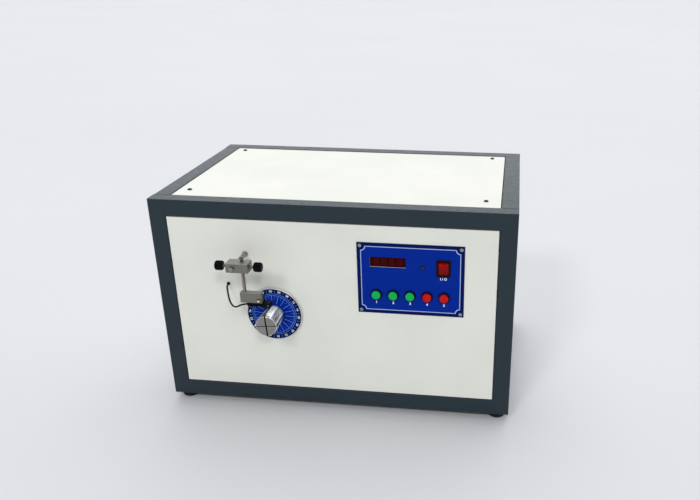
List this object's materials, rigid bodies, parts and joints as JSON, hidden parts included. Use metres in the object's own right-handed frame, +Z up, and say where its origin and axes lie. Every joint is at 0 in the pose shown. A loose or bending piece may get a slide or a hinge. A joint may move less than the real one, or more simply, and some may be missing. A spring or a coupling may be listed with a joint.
{
  "type": "winding wire springiness tester",
  "caption": "Bench cabinet with a motor-driven slotted mandrel and graduated dial on its front, a rod-mounted feeler above it, and a control plate with display, buttons and rocker switch.",
  "frame": {"origin": "on the bench, under the middle of the outer box", "axes": "+X to the right along the front, seen by someone who faces it; +Y from the front into the cabinet; +Z up"},
  "size_m": [0.64, 0.4794, 0.4037],
  "materials": {
    "frame_paint": "dark blue-grey textured powder coat",
    "panel_paint": "warm off-white powder coat, slightly textured",
    "zinc_steel": "bright zinc plating",
    "blackened_steel": "blackened screw heads",
    "foot_rubber": "black moulded rubber",
    "plate_blue": "blue printed control plate with pale border lines",
    "window_red": "dark red transparent display filter",
    "board_green": "green circuit board",
    "lamp_green": "dark green lamp lens",
    "black_plastic": "black moulded plastic",
    "rocker_red": "red moulded rocker",
    "button_green": "green button cap",
    "button_red": "red button cap",
    "unit_case": "bare sheet and extruded aluminium",
    "strip_plastic": "cream moulded plastic",
    "machined_aluminium": "machined and brushed aluminium",
    "turned_aluminium": "fine-turned aluminium with a matt face",
    "bearing_steel": "ground steel",
    "motor_paint": "black paint",
    "rod_steel": "polished steel rod",
    "cable_rubber": "black cable jacket",
    "dial_blue": "printed blue dial with white degree marks",
    "knob_black": "black knurled plastic",
    "screw_brass": "plain brass"
  },
  "bodies": {
    "cabinet": {"front_frame": "frame_paint", "rear_frame": "frame_paint", "side_rails": "frame_paint", "panel_tabs": "frame_paint", "panel_screws": "blackened_steel", "front_panel": "panel_paint", "top_panel": "panel_paint", "left_side_panel": "panel_paint", "right_side_panel": "panel_paint", "rear_panel": "panel_paint", "base_plate": "zinc_steel", "feet": "foot_rubber", "foot_studs": "zinc_steel", "control_plate": "plate_blue", "plate_and_inlet_screws": "zinc_steel", "display_window": "window_red", "control_board": "board_green", "indicator_lamp": "lamp_green", "power_switch_housing": "black_plastic", "button_bodies": "black_plastic", "button_nuts": "zinc_steel", "power_supply": "unit_case", "motor_driver": "unit_case", "terminal_strip": "strip_plastic", "mains_inlet": "black_plastic", "drive_stand": "zinc_steel", "bearing_housing": "machined_aluminium", "spindle_bearings": "bearing_steel", "gear_motor": "motor_paint", "drive_screws": "zinc_steel", "encoder_sensor": "black_plastic", "support_rod": "rod_steel", "support_rod_nuts": "rod_steel", "cable_bush": "cable_rubber", "sensor_cable": "cable_rubber"},
    "spindle": {"spindle_shaft": "rod_steel", "mandrel": "turned_aluminium", "dial": "dial_blue", "dial_hub": "machined_aluminium", "shaft_coupling": "machined_aluminium", "encoder_disc": "bearing_steel", "motor_shaft": "rod_steel"},
    "green_button_left": {"green_button_left": "button_green"},
    "green_button_middle": {"green_button_middle": "button_green"},
    "green_button_right": {"green_button_right": "button_green"},
    "red_button_left": {"red_button_left": "button_red"},
    "red_button_right": {"red_button_right": "button_red"},
    "rocker": {"power_rocker": "rocker_red"},
    "cross_slide": {"cross_block": "machined_aluminium"},
    "left_thumb_screw": {"left_thumb_shank": "rod_steel", "left_thumb_knob": "knob_black"},
    "right_thumb_screw": {"right_thumb_shank": "rod_steel", "right_thumb_knob": "knob_black"},
    "probe_head": {"probe_rod": "rod_steel", "probe_block": "machined_aluminium", "feeler_arm": "knob_black", "brass_screw": "screw_brass", "feeler_pin": "rod_steel"},
    "feeler": {"feeler_finger": "rod_steel"}
  },
  "joints": [
    {"name": "spindle_turn", "type": "hinge", "parent": "cabinet", "child": "spindle", "pos_m": [-0.107, -0.17, 0.196], "axis": [0, 1, 0], "continuous": true},
    {"name": "green_button_left_press", "type": "slide", "parent": "cabinet", "child": "green_button_left", "axis": [0, 1, 0], "range_m": [0, 0.002], "stiffness_N_per_m": 500, "springref_m": -0.002},
    {"name": "green_button_middle_press", "type": "slide", "parent": "cabinet", "child": "green_button_middle", "axis": [0, 1, 0], "range_m": [0, 0.002], "stiffness_N_per_m": 500, "springref_m": -0.002},
    {"name": "green_button_right_press", "type": "slide", "parent": "cabinet", "child": "green_button_right", "axis": [0, 1, 0], "range_m": [0, 0.002], "stiffness_N_per_m": 500, "springref_m": -0.002},
    {"name": "red_button_left_press", "type": "slide", "parent": "cabinet", "child": "red_button_left", "axis": [0, 1, 0], "range_m": [0, 0.002], "stiffness_N_per_m": 500, "springref_m": -0.002},
    {"name": "red_button_right_press", "type": "slide", "parent": "cabinet", "child": "red_button_right", "axis": [0, 1, 0], "range_m": [0, 0.002], "stiffness_N_per_m": 500, "springref_m": -0.002},
    {"name": "rocker_tip", "type": "hinge", "parent": "cabinet", "child": "rocker", "pos_m": [0.1969, -0.16723, 0.2992], "axis": [-1, 0, 0], "range_deg": [0, 20]},
    {"name": "cross_block_slide", "type": "slide", "parent": "cabinet", "child": "cross_slide", "axis": [0, 1, 0], "range_m": [-0.003, 0.025]},
    {"name": "left_thumb_turn", "type": "hinge", "parent": "cross_slide", "child": "left_thumb_screw", "pos_m": [-0.1785, -0.22348, 0.3079], "axis": [-1, 0, 0], "range_deg": [0, 360]},
    {"name": "right_thumb_turn", "type": "hinge", "parent": "cross_slide", "child": "right_thumb_screw", "pos_m": [-0.1111, -0.22348, 0.3079], "axis": [1, 0, 0], "range_deg": [0, 360]},
    {"name": "probe_height", "type": "slide", "parent": "cross_slide", "child": "probe_head", "axis": [0, 0, 1], "range_m": [-0.008, 0.03], "deforming": ["sensor_cable"]},
    {"name": "feeler_swing", "type": "hinge", "parent": "probe_head", "child": "feeler", "pos_m": [-0.0977, -0.22348, 0.23965], "axis": [0, 1, 0], "range_deg": [-15, 15], "stiffness_Nm_per_rad": 0.002}
  ]
}
